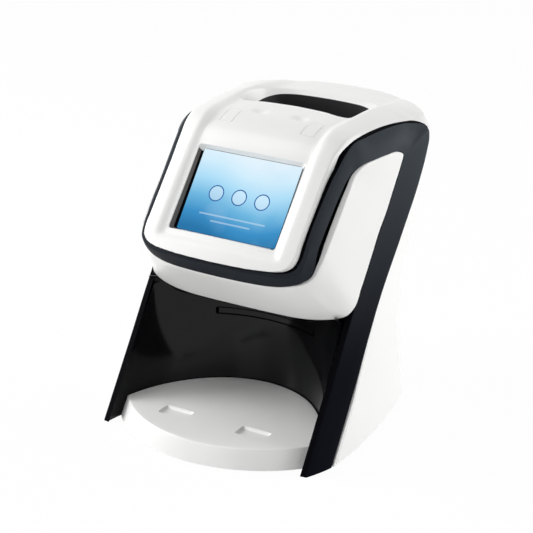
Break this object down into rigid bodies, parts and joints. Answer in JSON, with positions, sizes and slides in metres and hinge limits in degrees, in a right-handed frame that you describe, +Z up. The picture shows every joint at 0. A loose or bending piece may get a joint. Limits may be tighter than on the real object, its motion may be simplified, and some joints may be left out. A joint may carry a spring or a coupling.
{
  "type": "phosphor plate scanner",
  "caption": "Desktop reader for dental imaging plates: leaning case on two legs, tilted touch screen, plate bay with a sliding carrier and a pull-out tray, and a hand grip.",
  "frame": {"origin": "centre of the bounding box on the table under the feet", "axes": "+X to the right of a person facing the screen, +Y to the back, +Z up"},
  "size_m": [0.2108, 0.2705, 0.2479],
  "materials": {
    "white_plastic": "satin",
    "dark_plastic": "satin",
    "black_gloss": "gloss",
    "black_plastic": "matte",
    "touch_glass": "gloss",
    "panel": "satin",
    "rubber": "matte",
    "steel": "brushed",
    "aluminium": "satin",
    "board": "satin",
    "clear_plastic": "clear",
    "mirror_facets": "polished"
  },
  "bodies": {
    "casing": {"top_cover": "white_plastic", "front_shell": "white_plastic", "rear_cover": "white_plastic", "dark_frame": "dark_plastic", "cavity_liner": "black_gloss", "handle_pocket": "black_plastic", "base_plate": "black_plastic", "rubber_feet": "rubber", "screen_glass": "touch_glass", "lcd_panel": "panel", "display_frame": "black_plastic", "display_board": "board", "scan_deck": "aluminium", "deck_posts": "steel", "front_rail_block": "aluminium", "rear_rail_block": "aluminium", "guide_rods": "steel", "drive_motor": "steel", "optics_plate": "aluminium", "optics_posts": "steel", "light_collector": "clear_plastic", "photomultiplier": "steel", "mirror_motor": "aluminium", "laser_module": "aluminium", "erase_lamp_board": "board", "mainboard": "board", "io_board": "board", "network_port": "steel", "usb_port": "steel", "power_inlet": "black_plastic", "switch_housing": "black_plastic", "pan_head_screws": "steel"},
    "carrier": {"plate_carrier": "black_plastic"},
    "lead_screw": {"drive_screw": "steel"},
    "tray": {"receiving_tray": "white_plastic"},
    "rocker": {"power_rocker": "black_plastic"},
    "mirror": {"mirror_rotor": "mirror_facets"}
  },
  "joints": [
    {"name": "carrier_slide", "type": "slide", "parent": "casing", "child": "carrier", "axis": [0, -1, 0], "range_m": [0, 0.044]},
    {"name": "screw_spin", "type": "hinge", "parent": "casing", "child": "lead_screw", "pos_m": [0, 0.04, 0.061], "axis": [0, 1, 0], "range_deg": [0, 1985]},
    {"name": "tray_slide", "type": "slide", "parent": "casing", "child": "tray", "axis": [0, -1, 0], "range_m": [0, 0.06]},
    {"name": "rocker_tilt", "type": "hinge", "parent": "casing", "child": "rocker", "pos_m": [0.031, 0.0855, 0.028], "axis": [1, 0, 0], "range_deg": [-8, 8]},
    {"name": "mirror_spin", "type": "hinge", "parent": "casing", "child": "mirror", "pos_m": [0.034, 0.044, 0.112], "axis": [0, 0, 1], "continuous": true}
  ],
  "couplings": [
    {"joint": "screw_spin", "follows": "carrier_slide", "rad_per_m": 785.4}
  ]
}
